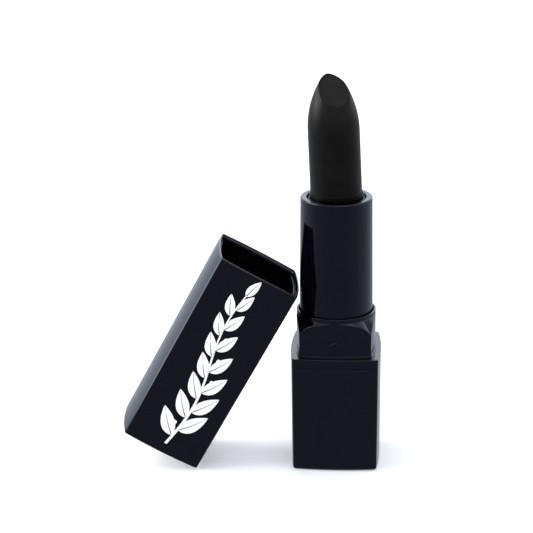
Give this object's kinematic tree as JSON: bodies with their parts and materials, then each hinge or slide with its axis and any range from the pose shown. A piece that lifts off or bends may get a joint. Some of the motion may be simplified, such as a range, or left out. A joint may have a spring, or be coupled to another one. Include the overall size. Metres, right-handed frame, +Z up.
{
  "type": "lipstick case",
  "caption": "Square lipstick case with its round sleeve showing, the bullet wound fully up, and the cap off, leaning on the sleeve with its open end up.",
  "frame": {"origin": "centre of the base's foot, on the surface the case stands on", "axes": "+Z up along the case, -Y out of the case's front, and the cap lies towards -X"},
  "size_m": [0.0618, 0.0232, 0.0939],
  "materials": {
    "gloss_black": "high gloss injection-moulded black",
    "inner_black": "satin black moulding",
    "natural_white": "natural unpainted plastic",
    "bullet_wax": "matte black wax with a faint sheen",
    "rubber": "matte",
    "steel": "plain pressed steel"
  },
  "bodies": {
    "base": {"base_shell": "gloss_black", "base_weight": "steel", "base_insert": "inner_black", "collar": "gloss_black", "fork": "inner_black", "drag_ring": "rubber"},
    "winder": {"sleeve": "gloss_black", "spiral_cam": "natural_white"},
    "carrier": {"cup": "inner_black", "bullet": "bullet_wax"},
    "cap": {"cap_shell": "gloss_black", "cap_liner": "inner_black"}
  },
  "joints": [
    {"name": "sleeve_twist", "type": "hinge", "parent": "base", "child": "winder", "pos_m": [0, 0, 0.0238], "axis": [0, 0, 1], "range_deg": [0, 450]},
    {"name": "cup_lift", "type": "slide", "parent": "base", "child": "carrier", "axis": [0, 0, 1], "range_m": [-0.03001, 0]},
    {"name": "cap_turn", "type": "hinge", "parent": "base", "child": "cap", "pos_m": [-0.00294, -0.00019, 0.06959], "axis": [-0.0652, 0.9979, 0], "range_deg": [0, 151]}
  ],
  "couplings": [
    {"joint": "cup_lift", "follows": "sleeve_twist", "m_per_rad": -0.0038197}
  ]
}
